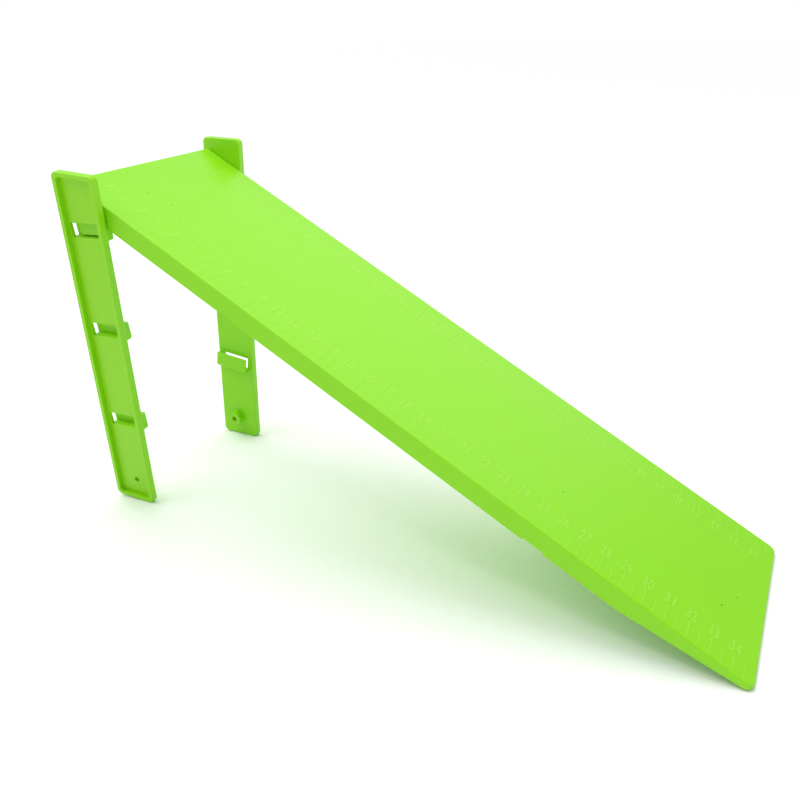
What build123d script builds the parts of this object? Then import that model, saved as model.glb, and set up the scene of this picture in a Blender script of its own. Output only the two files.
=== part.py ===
from build123d import *
from math import cos, radians
import os

# A classroom science ramp: a moulded plastic deck held up by two identical hook-on legs.
# +X runs downhill to the deck's low end, Y goes across the deck, +Z is up.
# The origin is on the floor, at the centre of the assembled ramp's bounding box.
# Each leg has three pockets. The deck's side tongues hang in the top pair, its steepest setting.

# ---- driving dimensions, in millimetres and degrees ----
DECK_LENGTH = 350.0
DECK_WIDTH = 100.0
DECK_SLOPE = 28.8
PLATE_THICKNESS = 1.8
SKIRT_DEPTH = 8.8
SKIRT_THICKNESS = 1.6
TIP_DEPTH = 2.3
TAPER_LENGTH = 56.0
TIP_LAND = 9.0
DECK_CORNER_RADIUS = 3.0
DECK_TIP_RADIUS = 1.5
DECK_EDGE_RADIUS = 0.6

NOTCH_LENGTH = 10.0
NOTCH_DEPTH = 0.8
NOTCH_FROM_MIDDLE = 80.0

RIB_THICKNESS = 1.2
RIB_DEPTH = 3.4
RIB_SPACING = 70.0
RIB_COUNT = 4

LEG_HEIGHT = 176.0
LEG_WIDTH = 23.2
LEG_DEPTH = 3.9
LEG_CORNER_RADIUS = 2.6
LEG_EDGE_RADIUS = 0.5
RIM_EDGE_RADIUS = 0.35
WEB_THICKNESS = 1.5
RIM_WIDTH = 2.1

POCKET_TOPS = (152.8, 102.4, 51.4)
POCKET_TILT = 5.9
POCKET_GAP = 2.4
POCKET_DEPTH = 6.8
POCKET_WALL = 1.1
POCKET_FLOOR = 1.4
POCKET_OPEN_END = -9.3
POCKET_CLOSED_END = 10.4
WINDOW_LEFT = -8.7
WINDOW_RIGHT = 9.0
STRAP_CHAMFER = 0.7

BOSS_X = 1.2
BOSS_Z = 11.0
BOSS_RADIUS = 3.9
BOSS_HEIGHT = 4.0
BOSS_HOLE_RADIUS = 1.5

TONGUE_THICKNESS = 1.0
TONGUE_HALF_WIDTH = 5.8
TONGUE_CORNER_RADIUS = 1.5
TONGUE_FLOOR_GAP = 0.5

# The legs hang loosely in their pockets, so each one stands a little off square.
NEAR_LEG_LEAN = 3.6
NEAR_LEG_SPLAY = 7.0
FAR_LEG_LEAN = 1.3
FAR_LEG_SPLAY = 0.0
HANG_HEIGHT = 147.0
HANG_X = -299.0
SIDE_GAP = 0.3
SEAT_GAP = 0.3

# Pieces of one body reach this far into each other, and cutters stand this far proud.
FUSE_OVERLAP = 0.3
CUT_MARGIN = 1.0

# ---- values worked out from them ----
HALF_WIDTH = DECK_WIDTH / 2
DECK_LIFT = TIP_DEPTH * cos(radians(DECK_SLOPE))
DECK_PLACE = Location((0, 0, DECK_LIFT), (0, DECK_SLOPE, 0))
RECESS_CORNER_RADIUS = LEG_CORNER_RADIUS - 1.0
ACROSS = (-DECK_WIDTH, DECK_WIDTH)
SEAT_FRONT = POCKET_CLOSED_END + 3 * SEAT_GAP


def block(x_range, y_range, z_range):
    """A box between two corners, each axis given as (low, high)."""
    lows = [min(r) for r in (x_range, y_range, z_range)]
    highs = [max(r) for r in (x_range, y_range, z_range)]
    size = [high - low for low, high in zip(lows, highs)]
    return Pos(*lows) * Box(*size, align=(Align.MIN, Align.MIN, Align.MIN))


def side_profile(points, half_width):
    """A prism with the given X-Z outline, centred across the deck."""
    outline = Plane.XZ * make_face(Polyline(*points, close=True))
    return extrude(outline, half_width, both=True)


# ---- support leg, standing upright on the origin with its inner face on Y = 0 ----
def leg_tray():
    """The flat web with a rim all round it, open on the outer side (-Y)."""
    body = block((-LEG_WIDTH / 2, LEG_WIDTH / 2), (-LEG_DEPTH, 0), (0, LEG_HEIGHT))
    body = fillet(body.edges().filter_by(Axis.Y), LEG_CORNER_RADIUS)
    body = fillet(body.faces().sort_by(Axis.Y)[-1].edges(), LEG_EDGE_RADIUS)
    recess = block(
        (-LEG_WIDTH / 2 + RIM_WIDTH, LEG_WIDTH / 2 - RIM_WIDTH),
        (-LEG_DEPTH - CUT_MARGIN, -WEB_THICKNESS),
        (RIM_WIDTH, LEG_HEIGHT - RIM_WIDTH),
    )
    recess = fillet(recess.edges().filter_by(Axis.Y), RECESS_CORNER_RADIUS)
    body -= recess
    rim_face = body.faces().filter_by(Axis.Y).sort_by(Axis.Y)[0]
    return fillet(rim_face.edges(), RIM_EDGE_RADIUS)


def pocket_walls():
    """Strap, floor and closed end, with the pocket's mouth on Z = 0."""
    strap_face = POCKET_GAP + POCKET_WALL
    bottom = -POCKET_DEPTH - POCKET_FLOOR
    length = (POCKET_OPEN_END, POCKET_CLOSED_END)
    shell = block(length, (-FUSE_OVERLAP, strap_face), (bottom, 0))
    lower_edge = shell.edges().filter_by(Axis.X).group_by(Axis.Z)[0].sort_by(Axis.Y)[-1]
    shell = chamfer(lower_edge, STRAP_CHAMFER)
    slot = block(
        (POCKET_OPEN_END - CUT_MARGIN, POCKET_CLOSED_END - POCKET_WALL),
        (-FUSE_OVERLAP - CUT_MARGIN, POCKET_GAP),
        (-POCKET_DEPTH, CUT_MARGIN),
    )
    return shell - slot


def pocket_window():
    """The cut through the web that shows the pocket from outside."""
    return block((WINDOW_LEFT, WINDOW_RIGHT), (-LEG_DEPTH, CUT_MARGIN), (-POCKET_DEPTH, 0))


def support_leg():
    """One leg: the tray, its three pockets and the pegged boss near the foot."""
    body = leg_tray()
    for top in POCKET_TOPS:
        place = Location((0, 0, top), (0, -POCKET_TILT, 0))
        body += place * pocket_walls()
        body -= place * pocket_window()
    boss_place = Location((BOSS_X, 0, BOSS_Z), (-90, 0, 0))
    whole_boss = BOSS_HEIGHT + FUSE_OVERLAP
    boss = Pos(0, 0, -FUSE_OVERLAP) * Cylinder(
        BOSS_RADIUS, whole_boss, align=(Align.CENTER, Align.CENTER, Align.MIN)
    )
    body += boss_place * boss
    return body - boss_place * Cylinder(BOSS_HOLE_RADIUS, 2 * (BOSS_HEIGHT + LEG_DEPTH))


def leg_stand(leg, turn, lean, splay, hang_y):
    """Where a leg stands: turned, leaned, and on the floor under its side of the deck."""
    tilt = Location((0, 0, 0), (splay, 0, 0)) * Location((0, 0, 0), (0, lean, 0))
    tilt = tilt * Location((0, 0, 0), (0, 0, turn))
    hang_point = (tilt * Location((0, 0, HANG_HEIGHT))).position
    drop = (tilt * leg).bounding_box().min.Z
    return Pos(HANG_X - hang_point.X, hang_y - hang_point.Y, -drop) * tilt


def mouth_plane(stand, tilt):
    """The top pocket's mouth as it lies under the deck, at the height of its strap's edge."""
    middle = (stand * Location((0, POCKET_GAP + POCKET_WALL, POCKET_TOPS[0]))).position
    return Location((middle.X, 0, middle.Z), (0, tilt, 0))


# ---- deck, lying flat with its low end at X = 0 and its running surface on Z = 0 ----
def deck_shell():
    """An upside-down tray whose sides taper away to a thin lip at the low end."""
    outline = [(-DECK_LENGTH, 0), (0, 0), (0, -TIP_DEPTH)]
    outline += [(-TAPER_LENGTH, -SKIRT_DEPTH), (-DECK_LENGTH, -SKIRT_DEPTH)]
    body = side_profile(outline, HALF_WIDTH)
    body = fillet(upright_edges(body)[-1], DECK_CORNER_RADIUS)
    body = fillet(upright_edges(body)[0], DECK_TIP_RADIUS)
    body = fillet(body.faces().sort_by(Axis.Z)[-1].edges(), DECK_EDGE_RADIUS)
    far_end = -DECK_LENGTH + SKIRT_THICKNESS
    deepest = -SKIRT_DEPTH - CUT_MARGIN
    hollow = [(far_end, -PLATE_THICKNESS), (-TIP_LAND, -PLATE_THICKNESS)]
    hollow += [(-TIP_LAND, deepest), (far_end, deepest)]
    return body - side_profile(hollow, HALF_WIDTH - SKIRT_THICKNESS)


def upright_edges(body):
    """The corner edges that stand upright, in groups from the high end to the low end."""
    return body.edges().filter_by(Axis.Z).group_by(Axis.X)


def deck_rib(x):
    """A stiffening rib across the underside."""
    inside = HALF_WIDTH - SKIRT_THICKNESS + FUSE_OVERLAP
    top = -PLATE_THICKNESS + FUSE_OVERLAP
    return block((x, x + RIB_THICKNESS), (-inside, inside), (-PLATE_THICKNESS - RIB_DEPTH, top))


def skirt_notch(x):
    """A shallow notch in the lower edge of both skirts, centred on x."""
    low = -SKIRT_DEPTH - CUT_MARGIN
    span = (x - NOTCH_LENGTH / 2, x + NOTCH_LENGTH / 2)
    return block(span, ACROSS, (low, -SKIRT_DEPTH + NOTCH_DEPTH))


def tongue(side, mouth):
    """A flat round-cornered tongue that hangs from one skirt into its leg's pocket."""
    across = (side * HALF_WIDTH, side * (HALF_WIDTH - TONGUE_THICKNESS))
    foot = -POCKET_DEPTH + TONGUE_FLOOR_GAP
    plate = block((-TONGUE_HALF_WIDTH, TONGUE_HALF_WIDTH), across, (foot, SKIRT_DEPTH))
    foot_corners = plate.edges().filter_by(Axis.Y).group_by(Axis.Z)[0]
    return mouth * fillet(foot_corners, TONGUE_CORNER_RADIUS)


def ramp_deck(near_mouth, far_mouth):
    """The whole deck at its working slope, with a seat over each pocket's mouth."""
    flat = deck_shell()
    middle = -DECK_LENGTH / 2
    first_rib = middle - RIB_SPACING * (RIB_COUNT - 1) / 2
    for index in range(RIB_COUNT):
        flat += deck_rib(first_rib + index * RIB_SPACING)
    for offset in (-NOTCH_FROM_MIDDLE, NOTCH_FROM_MIDDLE):
        flat -= skirt_notch(middle + offset)
    body = DECK_PLACE * flat
    under_plate = DECK_PLACE * block(
        (-DECK_LENGTH + DECK_CORNER_RADIUS, 0), ACROSS, (-DECK_LENGTH, -PLATE_THICKNESS / 2)
    )
    for side, mouth in ((-1, near_mouth), (1, far_mouth)):
        body -= mouth * block(
            (SEAT_FRONT, -DECK_LENGTH), (0, side * DECK_WIDTH), (-DECK_LENGTH, SEAT_GAP)
        )
        body += tongue(side, mouth) & under_plate
    return body


# ---- assembly ----
one_leg = support_leg()
near_stand = leg_stand(one_leg, 0, NEAR_LEG_LEAN, NEAR_LEG_SPLAY, -HALF_WIDTH - SIDE_GAP)
far_stand = leg_stand(one_leg, 180, FAR_LEG_LEAN, -FAR_LEG_SPLAY, HALF_WIDTH + SIDE_GAP)
near_mouth = mouth_plane(near_stand, NEAR_LEG_LEAN - POCKET_TILT)
far_mouth = mouth_plane(far_stand, FAR_LEG_LEAN + POCKET_TILT)
deck = ramp_deck(near_mouth, far_mouth)

pieces = {
    "ramp_deck": deck,
    "near_support_leg": near_stand * one_leg,
    "far_support_leg": far_stand * one_leg,
}
boxes = [shape.bounding_box() for shape in pieces.values()]
whole_box = boxes[0]
for box in boxes[1:]:
    whole_box = whole_box.add(box)
to_origin = Pos(-whole_box.center().X, -whole_box.center().Y, -whole_box.min.Z)

os.makedirs("parts", exist_ok=True)
for name, shape in pieces.items():
    export_step(to_origin * shape, f"parts/{name}.step")

print("box", whole_box.size, "moved by", to_origin.position)
for name, shape in pieces.items():
    print(name, len(shape.solids()), "solid", round(shape.volume, 1), "mm3")
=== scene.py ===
import bmesh
import bpy
from math import cos, pi, radians, sin
from mathutils import Matrix, Vector


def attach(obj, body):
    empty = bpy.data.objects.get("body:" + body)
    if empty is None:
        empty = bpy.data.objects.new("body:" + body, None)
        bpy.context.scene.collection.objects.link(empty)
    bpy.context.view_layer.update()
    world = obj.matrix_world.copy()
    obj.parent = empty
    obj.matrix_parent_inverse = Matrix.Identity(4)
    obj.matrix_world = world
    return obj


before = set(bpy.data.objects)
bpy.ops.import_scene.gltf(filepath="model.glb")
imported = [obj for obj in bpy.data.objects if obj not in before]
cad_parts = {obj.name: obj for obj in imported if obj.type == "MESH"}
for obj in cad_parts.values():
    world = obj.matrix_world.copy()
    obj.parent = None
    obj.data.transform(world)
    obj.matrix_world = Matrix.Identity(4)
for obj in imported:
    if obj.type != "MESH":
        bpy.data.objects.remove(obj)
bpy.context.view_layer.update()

# ---- sizes, in metres and degrees ----
DECK_LENGTH = 0.350
DECK_WIDTH = 0.100
DECK_SLOPE = 28.8
TIP_DEPTH = 0.0023
LOW_END_X = 0.159932
DECK_MIDDLE_Y = 0.001764

TICK_STEP = 0.005
TICK_WIDTH = 0.00034
TICK_HEIGHT = 0.00007
TICK_CREST = 0.6
TICK_START = 0.0014
LONG_TICK = 0.0105
SHORT_TICK = 0.0074
SINK = 0.00008

DIGIT_HEIGHT = 0.0062
DIGIT_WIDTH = 0.0046
DIGIT_FOOT = 0.0124
DIGIT_RELIEF = 0.00007
DIGIT_SMOOTHNESS = 3
MERGE_DISTANCE = 1e-7

# each ring of a speck: height, and share of the radius
SPECK_SIDES = 12
SPECK_RINGS = ((-SINK, 1.0), (0.000012, 0.9), (0.00002, 0.5))

# each speck: distance uphill, distance across from the middle, radius
SPECKS = (
    (0.0192, -0.0162, 0.00045),
    (0.0135, -0.0047, 0.00030),
    (0.0963, -0.0178, 0.00040),
    (0.1024, 0.0302, 0.00025),
    (0.3297, -0.0202, 0.00030),
    (0.3177, -0.0167, 0.00035),
    (0.3083, -0.0211, 0.00025),
)

# ---- plastic: noise scales per metre, stretches along the deck, depths in metres ----
DECK_PALE = (0.265, 0.712, 0.008)
DECK_DEEP = (0.252, 0.692, 0.006)
LEG_PALE = (0.285, 0.700, 0.006)
LEG_DEEP = (0.265, 0.675, 0.005)
# ruler marks: the paler tone is a painted highlight, a glint of light on the tick flanks; their higher
# roughness below is a rougher finish
MARK_GLINT_PALE = (0.360, 0.780, 0.060)
MARK_GLINT_DEEP = (0.330, 0.750, 0.050)
# specks: small spots painted darker than the running surface
SPECK_PALE = (0.10, 0.16, 0.02)
SPECK_DEEP = (0.05, 0.09, 0.01)

PLASTIC_ROUGHNESS = 0.37
MARK_ROUGHNESS = 0.55
SPECK_ROUGHNESS = 0.6
ROUGHNESS_SPREAD = 0.08

PLASTIC_IOR = 1.49
SPECULAR_LEVEL = 0.35
GLOW_WEIGHT = 0.12
GLOW_RADIUS = (0.6, 1.0, 0.2)
GLOW_SCALE = 0.0012

CLOUD_SCALE = 18.0
CLOUD_DETAIL = 3.0
GRAIN_SCALE = 2600.0
GRAIN_STRENGTH = 0.10
GRAIN_DEPTH = 0.00008
RIPPLE_SCALE = 60.0
RIPPLE_STRETCH = (2.9, 1.0, 1.0)
RIPPLE_STRENGTH = 0.12
RIPPLE_DEPTH = 0.0004

# each set of hairlines: scale, stretch, turn, and the noise level where the lines start
SCUFFS = (
    (1500.0, (45.0, 1.0, 1.0), 24.0, 0.66),
    (1700.0, (35.0, 1.0, 1.0), -51.0, 0.67),
)
SCUFF_BAND = 0.08
SCUFF_ROUGHNESS = 0.12
SCUFF_STRENGTH = 0.12
SCUFF_DEPTH = 0.00006

# ---- stage, lights and camera ----
FLOOR_REACH = 6.0
PAPER_DARK = (0.93, 0.93, 0.93)
PAPER_PALE = (0.96, 0.96, 0.96)
PAPER_ROUGHNESS = 0.9
FIBRE_SCALE = 900.0

WHITE = (1.0, 1.0, 1.0, 1.0)
AMBIENT = 0.42
BACKDROP = 1.0

# each soft box: name, place, what it points at, size, watts
SOFT_BOXES = (
    ("key_soft_box", (0.04, 0.0, 0.42), (0.0, 0.0, 0.09), 0.2, 0.28),
    ("back_soft_box", (0.0, 0.75, 0.62), (-0.02, 0.0, 0.1), 0.9, 2.3),
    ("edge_soft_box", (0.26, -0.55, 0.85), (0.0, 0.0, 0.08), 0.14, 0.8),
)
SILK_STRENGTH = 2.4
SILK_SPREAD = 70.0
SILK_FROM = (-0.5, -0.04, 0.85)

CAMERA_PLACE = (0.15693, -0.33456, 0.23965)
CAMERA_TURN = (68.5226, 0.8601, 25.6943)
FOCAL_LENGTH = 39.442
SENSOR_WIDTH = 36.0
SHIFT_X = -0.0038
SHIFT_Y = -0.0598
NEAREST_SEEN = 0.01


# ---- where things are on the deck ----
deck_turn = Matrix.Rotation(radians(DECK_SLOPE), 4, "Y")
low_end = Vector((LOW_END_X, DECK_MIDDLE_Y, TIP_DEPTH * cos(radians(DECK_SLOPE))))
deck_place = Matrix.Translation(low_end) @ deck_turn


def on_deck(uphill, across, lift=0.0):
    """A point of the running surface: distance up from the low end, across from the middle."""
    return deck_place @ Vector((-uphill, across, lift))


# ---- materials ----
def node(tree, kind, **values):
    """A shader node with its inputs or properties set by name."""
    made = tree.nodes.new(kind)
    for name, value in values.items():
        plain = name.replace("_", " ")
        if plain in made.inputs:
            made.inputs[plain].default_value = value
        else:
            setattr(made, name, value)
    return made


def tone_ramp(tree, source, stops):
    """A colour ramp fed by source, with (position, colour) stops."""
    ramp = node(tree, "ShaderNodeValToRGB")
    elements = ramp.color_ramp.elements
    for element, (position, colour) in zip(elements, stops):
        element.position = position
        element.color = (*colour, 1.0)
    tree.links.new(source, ramp.inputs["Fac"])
    return ramp.outputs["Color"]


def scaled(tree, source, low, high, low_out, high_out):
    """source remapped from low..high to low_out..high_out."""
    remap = node(tree, "ShaderNodeMapRange")
    tree.links.new(source, remap.inputs["Value"])
    for name, value in (("From Min", low), ("From Max", high), ("To Min", low_out), ("To Max", high_out)):
        remap.inputs[name].default_value = value
    return remap.outputs["Result"]


def moulded_plastic(name, pale, deep, roughness):
    """Injection-moulded lime plastic: cloudy tone, fine grain, flow ripples and hairline scuffs."""
    material = bpy.data.materials.new(name)
    material.use_nodes = True
    tree = material.node_tree
    tree.nodes.clear()
    place = node(tree, "ShaderNodeTexCoord").outputs["Object"]

    def noise(scale, detail=2.0, stretch=None, turn=0.0):
        texture = node(tree, "ShaderNodeTexNoise", Scale=scale, Detail=detail)
        start = place
        if stretch:
            lie = Matrix.Rotation(radians(DECK_SLOPE), 3, "Y") @ Matrix.Rotation(radians(turn), 3, "Z")
            mapping = node(tree, "ShaderNodeMapping", vector_type="TEXTURE", Scale=stretch)
            mapping.inputs["Rotation"].default_value = lie.to_euler()
            tree.links.new(place, mapping.inputs["Vector"])
            start = mapping.outputs["Vector"]
        tree.links.new(start, texture.inputs["Vector"])
        return texture.outputs["Fac"]

    cloud = noise(CLOUD_SCALE, CLOUD_DETAIL)
    fine_grain = noise(GRAIN_SCALE)
    ripple = noise(RIPPLE_SCALE, 1.0, RIPPLE_STRETCH)

    shader = node(tree, "ShaderNodeBsdfPrincipled")
    shader.inputs["IOR"].default_value = PLASTIC_IOR
    shader.inputs["Specular IOR Level"].default_value = SPECULAR_LEVEL
    shader.inputs["Subsurface Weight"].default_value = GLOW_WEIGHT
    shader.inputs["Subsurface Radius"].default_value = GLOW_RADIUS
    shader.inputs["Subsurface Scale"].default_value = GLOW_SCALE

    tone = tone_ramp(tree, cloud, ((0.0, deep), (1.0, pale)))
    tree.links.new(tone, shader.inputs["Base Color"])

    scuffs = node(tree, "ShaderNodeMath", operation="MAXIMUM")
    for socket, (scale, stretch, turn, start) in zip(scuffs.inputs, SCUFFS):
        hairlines = noise(scale, stretch=stretch, turn=turn)
        tree.links.new(scaled(tree, hairlines, start, start + SCUFF_BAND, 0.0, 1.0), socket)
    gloss = node(tree, "ShaderNodeMath", operation="ADD")
    smoothest = roughness - ROUGHNESS_SPREAD
    roughest = roughness + ROUGHNESS_SPREAD
    tree.links.new(scaled(tree, cloud, 0.0, 1.0, smoothest, roughest), gloss.inputs[0])
    tree.links.new(scaled(tree, scuffs.outputs[0], 0.0, 1.0, 0.0, SCUFF_ROUGHNESS), gloss.inputs[1])
    tree.links.new(gloss.outputs[0], shader.inputs["Roughness"])

    skin = node(tree, "ShaderNodeBump", Strength=GRAIN_STRENGTH, Distance=GRAIN_DEPTH)
    tree.links.new(fine_grain, skin.inputs["Height"])
    waves = node(tree, "ShaderNodeBump", Strength=RIPPLE_STRENGTH, Distance=RIPPLE_DEPTH)
    tree.links.new(ripple, waves.inputs["Height"])
    tree.links.new(skin.outputs["Normal"], waves.inputs["Normal"])
    scratches = node(tree, "ShaderNodeBump", Strength=SCUFF_STRENGTH, Distance=SCUFF_DEPTH)
    scratches.invert = True
    tree.links.new(scuffs.outputs[0], scratches.inputs["Height"])
    tree.links.new(waves.outputs["Normal"], scratches.inputs["Normal"])
    tree.links.new(scratches.outputs["Normal"], shader.inputs["Normal"])

    output = node(tree, "ShaderNodeOutputMaterial")
    tree.links.new(shader.outputs["BSDF"], output.inputs["Surface"])
    return material


def paper_material():
    """A pale seamless studio floor."""
    material = bpy.data.materials.new("studio_paper")
    material.use_nodes = True
    tree = material.node_tree
    shader = tree.nodes["Principled BSDF"]
    shader.inputs["Roughness"].default_value = PAPER_ROUGHNESS
    place = node(tree, "ShaderNodeTexCoord").outputs["Object"]
    fibre = node(tree, "ShaderNodeTexNoise", Scale=FIBRE_SCALE, Detail=2.0)
    tree.links.new(place, fibre.inputs["Vector"])
    tone = tone_ramp(tree, fibre.outputs["Fac"], ((0.2, PAPER_DARK), (0.8, PAPER_PALE)))
    tree.links.new(tone, shader.inputs["Base Color"])
    return material


deck_plastic = moulded_plastic("deck_plastic", DECK_PALE, DECK_DEEP, PLASTIC_ROUGHNESS)
leg_plastic = moulded_plastic("leg_plastic", LEG_PALE, LEG_DEEP, PLASTIC_ROUGHNESS)
# the ruler marks' paler tone is a painted highlight standing in for glint on the ticks
mark_plastic_painted_glint = moulded_plastic("mark_plastic_painted_glint", MARK_GLINT_PALE, MARK_GLINT_DEEP, MARK_ROUGHNESS)
# dark tone for the small specks on the running surface
dark_speck_plastic = moulded_plastic("dark_speck_plastic", SPECK_PALE, SPECK_DEEP, SPECK_ROUGHNESS)


def dress(obj, material):
    """Gives an object one material."""
    obj.data.materials.clear()
    obj.data.materials.append(material)


dress(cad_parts["ramp_deck"], deck_plastic)
dress(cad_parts["near_support_leg"], leg_plastic)
dress(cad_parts["far_support_leg"], leg_plastic)


# ---- ruler marks moulded along both long edges of the deck ----
def add_slab(mesh, along, start, length, side):
    """One tick: a thin raised bar that runs in from a long edge, with sloping flanks."""
    inward = -side
    edge = side * DECK_WIDTH / 2 + inward * start
    end = edge + inward * length
    corners = []
    foot = TICK_WIDTH / 2
    crest = foot * TICK_CREST
    for lift, half in ((-SINK, foot), (TICK_HEIGHT, crest)):
        trim = foot - half
        for x, y in ((-half, edge + inward * trim), (half, edge + inward * trim),
                     (half, end - inward * trim), (-half, end - inward * trim)):
            corners.append(mesh.verts.new(on_deck(along + x, y, lift)))
    low, high = corners[:4], corners[4:]
    mesh.faces.new(low)
    mesh.faces.new(high)
    for i in range(4):
        j = (i + 1) % 4
        mesh.faces.new((low[i], low[j], high[j], high[i]))


def add_number(mesh, value, along, side):
    """A raised number whose foot faces its own long edge."""
    curve = bpy.data.curves.new("number", "FONT")
    curve.body = str(value)
    curve.extrude = 0.5  # only tells front from back: the depth is set below
    curve.resolution_u = DIGIT_SMOOTHNESS
    text = bpy.data.objects.new("number", curve)
    bpy.context.scene.collection.objects.link(text)
    bpy.context.view_layer.update()
    shape = bpy.data.meshes.new_from_object(text.evaluated_get(bpy.context.evaluated_depsgraph_get()))
    xs = [v.co.x for v in shape.vertices]
    ys = [v.co.y for v in shape.vertices]
    tall = DIGIT_HEIGHT / (max(ys) - min(ys))
    wide = DIGIT_WIDTH / 2 * len(str(value)) / (max(xs) - min(xs))
    middle = (max(xs) + min(xs)) / 2
    for v in shape.vertices:
        across = (v.co.x - middle) * min(wide, tall)
        up = (v.co.y - min(ys)) * tall
        lift = DIGIT_RELIEF if v.co.z > 0 else -SINK
        y = side * (DECK_WIDTH / 2 - DIGIT_FOOT - up)
        v.co = on_deck(along + side * across, y, lift)
    mesh.from_mesh(shape)
    bpy.data.objects.remove(text)
    bpy.data.curves.remove(curve)
    bpy.data.meshes.remove(shape)


def finish_mesh(name, mesh, material, body):
    """Turns a bmesh into a named piece that rides on a body."""
    bmesh.ops.remove_doubles(mesh, verts=mesh.verts, dist=MERGE_DISTANCE)
    bmesh.ops.recalc_face_normals(mesh, faces=mesh.faces)
    data = bpy.data.meshes.new(name)
    mesh.to_mesh(data)
    mesh.free()
    piece = bpy.data.objects.new(name, data)
    bpy.context.scene.collection.objects.link(piece)
    dress(piece, material)
    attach(piece, body)
    return piece


def ruler():
    """Ticks along both long edges, with a number at every second one."""
    mesh = bmesh.new()
    steps = round(DECK_LENGTH / TICK_STEP)
    for side in (-1, 1):
        for step in range(1, steps):
            along = step * TICK_STEP
            whole = step % 2 == 0
            add_slab(mesh, along, TICK_START, LONG_TICK if whole else SHORT_TICK, side)
            if whole:
                add_number(mesh, (steps - step) // 2, along, side)
    return finish_mesh("deck_ruler_marks", mesh, mark_plastic_painted_glint, "deck")


ruler()


# ---- small marks: specks on the running surface ----
def disc(mesh, centre, radius):
    """A thin many-sided button on the deck, sunk a little into the surface."""
    downhill = deck_turn @ Vector((1, 0, 0))
    across = Vector((0, 1, 0))
    normal = deck_turn @ Vector((0, 0, 1))
    rings = []
    for height, share in SPECK_RINGS:
        ring = []
        for i in range(SPECK_SIDES):
            angle = 2 * pi * i / SPECK_SIDES
            reach = (downhill * cos(angle) + across * sin(angle)) * radius * share
            ring.append(mesh.verts.new(centre + reach + normal * height))
        rings.append(ring)
    mesh.faces.new(rings[0])
    mesh.faces.new(rings[-1])
    for low, high in zip(rings, rings[1:]):
        for i in range(SPECK_SIDES):
            j = (i + 1) % SPECK_SIDES
            mesh.faces.new((low[i], low[j], high[j], high[i]))


def specks():
    """Dark specks on the running surface."""
    mesh = bmesh.new()
    for uphill, across, radius in SPECKS:
        disc(mesh, on_deck(uphill, across), radius)
    return finish_mesh("deck_specks", mesh, dark_speck_plastic, "deck")


specks()

# ---- stage ----
floor_data = bpy.data.meshes.new("studio_floor")
floor_corners = [(x, y, 0.0) for x, y in ((-1, -1), (1, -1), (1, 1), (-1, 1))]
floor_data.from_pydata([Vector(c) * FLOOR_REACH for c in floor_corners], [], [(0, 1, 2, 3)])
studio_floor = bpy.data.objects.new("studio_floor", floor_data)
bpy.context.scene.collection.objects.link(studio_floor)
dress(studio_floor, paper_material())

world = bpy.data.worlds.new("studio")
bpy.context.scene.world = world
world.use_nodes = True
sky = world.node_tree
sky.nodes.clear()
ambient = node(sky, "ShaderNodeBackground", Color=WHITE, Strength=AMBIENT)
backdrop = node(sky, "ShaderNodeBackground", Color=WHITE, Strength=BACKDROP)
seen = node(sky, "ShaderNodeLightPath")
choose = node(sky, "ShaderNodeMixShader")
sky.links.new(seen.outputs["Is Camera Ray"], choose.inputs["Fac"])
sky.links.new(ambient.outputs["Background"], choose.inputs[1])
sky.links.new(backdrop.outputs["Background"], choose.inputs[2])
sky_output = node(sky, "ShaderNodeOutputWorld")
sky.links.new(choose.outputs["Shader"], sky_output.inputs["Surface"])


def soft_light(name, place, target, size, watts):
    """A square soft box that points at target."""
    data = bpy.data.lights.new(name, "AREA")
    data.shape = "SQUARE"
    data.size = size
    data.energy = watts
    lamp = bpy.data.objects.new(name, data)
    lamp.location = place
    lamp.rotation_euler = (Vector(target) - Vector(place)).to_track_quat("-Z", "Y").to_euler()
    bpy.context.scene.collection.objects.link(lamp)
    return lamp


for soft_box in SOFT_BOXES:
    soft_light(*soft_box)
overhead = bpy.data.lights.new("overhead_silk", "SUN")
overhead.energy = SILK_STRENGTH
overhead.angle = radians(SILK_SPREAD)
overhead_lamp = bpy.data.objects.new("overhead_silk", overhead)
overhead_lamp.rotation_euler = Vector(SILK_FROM).to_track_quat("Z", "Y").to_euler()
bpy.context.scene.collection.objects.link(overhead_lamp)

camera_data = bpy.data.cameras.new("photo_camera")
camera_data.lens = FOCAL_LENGTH
camera_data.sensor_width = SENSOR_WIDTH
camera_data.shift_x = SHIFT_X
camera_data.shift_y = SHIFT_Y
camera_data.clip_start = NEAREST_SEEN
camera = bpy.data.objects.new("photo_camera", camera_data)
camera.location = CAMERA_PLACE
camera.rotation_euler = [radians(a) for a in CAMERA_TURN]
bpy.context.scene.collection.objects.link(camera)
bpy.context.scene.camera = camera
bpy.context.scene.view_settings.view_transform = "Standard"
